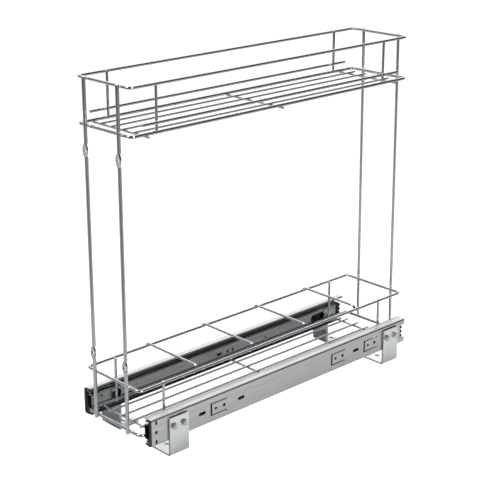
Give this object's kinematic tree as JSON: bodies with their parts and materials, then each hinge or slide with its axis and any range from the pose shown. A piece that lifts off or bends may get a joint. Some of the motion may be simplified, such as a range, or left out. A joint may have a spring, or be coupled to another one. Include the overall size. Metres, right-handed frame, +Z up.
{
  "type": "pull-out cabinet basket",
  "caption": "Narrow two-tier wire basket that pulls out of a base cabinet on ball-bearing slides with floor brackets.",
  "frame": {"origin": "centre of the footprint on the cabinet floor, with the basket pushed in", "axes": "+X to the right, -Y to the front (the basket pulls out towards -Y), +Z up"},
  "size_m": [0.139, 0.4718, 0.4419],
  "materials": {
    "wire_chrome": "bright chrome plate on drawn steel wire",
    "slide_zinc": "bright zinc plate on rolled steel, fine lengthwise rolling marks",
    "bracket_zinc": "satin zinc plate on pressed steel",
    "fastener_zinc": "bright zinc plate",
    "ball_steel": "polished bearing steel with a film of grease",
    "cage_black": "matte black moulded plastic",
    "bumper_black": "matte black elastomer"
  },
  "bodies": {
    "base": {"bracket_front_right": "bracket_zinc", "bracket_front_left": "bracket_zinc", "bracket_rear_right": "bracket_zinc", "bracket_rear_left": "bracket_zinc", "bracket_screws": "fastener_zinc", "bracket_nuts": "fastener_zinc", "cabinet_member_right": "slide_zinc", "cabinet_member_left": "slide_zinc", "front_stop_right": "bumper_black", "front_stop_left": "bumper_black", "rear_bumper_right": "bumper_black", "rear_bumper_left": "bumper_black"},
    "middle_right": {"middle_member_right": "slide_zinc"},
    "outer_bearing_right": {"outer_cage_right": "cage_black", "outer_balls_right": "ball_steel"},
    "inner_bearing_right": {"inner_cage_right": "cage_black", "inner_balls_right": "ball_steel"},
    "middle_left": {"middle_member_left": "slide_zinc"},
    "outer_bearing_left": {"outer_cage_left": "cage_black", "outer_balls_left": "ball_steel"},
    "inner_bearing_left": {"inner_cage_left": "cage_black", "inner_balls_left": "ball_steel"},
    "basket": {"drawer_member_right": "slide_zinc", "drawer_member_left": "slide_zinc", "lower_floor_rim": "wire_chrome", "lower_top_rim": "wire_chrome", "lower_cross_wire_1": "wire_chrome", "lower_cross_wire_2": "wire_chrome", "lower_cross_wire_3": "wire_chrome", "lower_floor_wire_1": "wire_chrome", "lower_floor_wire_2": "wire_chrome", "lower_floor_wire_3": "wire_chrome", "lower_floor_wire_4": "wire_chrome", "lower_upright_1": "wire_chrome", "lower_upright_2": "wire_chrome", "lower_upright_3": "wire_chrome", "lower_upright_4": "wire_chrome", "divider_1": "wire_chrome", "divider_2": "wire_chrome", "divider_3": "wire_chrome", "divider_4": "wire_chrome", "upper_floor_rim": "wire_chrome", "upper_top_rim": "wire_chrome", "upper_cross_wire_1": "wire_chrome", "upper_cross_wire_2": "wire_chrome", "upper_cross_wire_3": "wire_chrome", "upper_floor_wire_1": "wire_chrome", "upper_floor_wire_2": "wire_chrome", "upper_floor_wire_3": "wire_chrome", "upper_floor_wire_4": "wire_chrome", "upper_upright_1": "wire_chrome", "upper_upright_2": "wire_chrome", "upper_upright_3": "wire_chrome", "upper_upright_4": "wire_chrome", "side_rail_right": "wire_chrome", "side_rail_left": "wire_chrome", "front_post_right": "wire_chrome", "front_post_left": "wire_chrome", "rear_post_right": "wire_chrome", "rear_post_left": "wire_chrome"}
  },
  "joints": [
    {"name": "basket_slide", "type": "slide", "parent": "base", "child": "basket", "axis": [0, -1, 0], "range_m": [0, 0.43]},
    {"name": "middle_right_slide", "type": "slide", "parent": "base", "child": "middle_right", "axis": [0, -1, 0], "range_m": [0, 0.215]},
    {"name": "outer_bearing_right_slide", "type": "slide", "parent": "base", "child": "outer_bearing_right", "axis": [0, -1, 0], "range_m": [0, 0.1075]},
    {"name": "inner_bearing_right_slide", "type": "slide", "parent": "base", "child": "inner_bearing_right", "axis": [0, -1, 0], "range_m": [0, 0.3225]},
    {"name": "middle_left_slide", "type": "slide", "parent": "base", "child": "middle_left", "axis": [0, -1, 0], "range_m": [0, 0.215]},
    {"name": "outer_bearing_left_slide", "type": "slide", "parent": "base", "child": "outer_bearing_left", "axis": [0, -1, 0], "range_m": [0, 0.1075]},
    {"name": "inner_bearing_left_slide", "type": "slide", "parent": "base", "child": "inner_bearing_left", "axis": [0, -1, 0], "range_m": [0, 0.3225]}
  ],
  "couplings": [
    {"joint": "middle_right_slide", "follows": "basket_slide", "ratio": 0.5},
    {"joint": "outer_bearing_right_slide", "follows": "basket_slide", "ratio": 0.25},
    {"joint": "inner_bearing_right_slide", "follows": "basket_slide", "ratio": 0.75},
    {"joint": "middle_left_slide", "follows": "basket_slide", "ratio": 0.5},
    {"joint": "outer_bearing_left_slide", "follows": "basket_slide", "ratio": 0.25},
    {"joint": "inner_bearing_left_slide", "follows": "basket_slide", "ratio": 0.75}
  ]
}
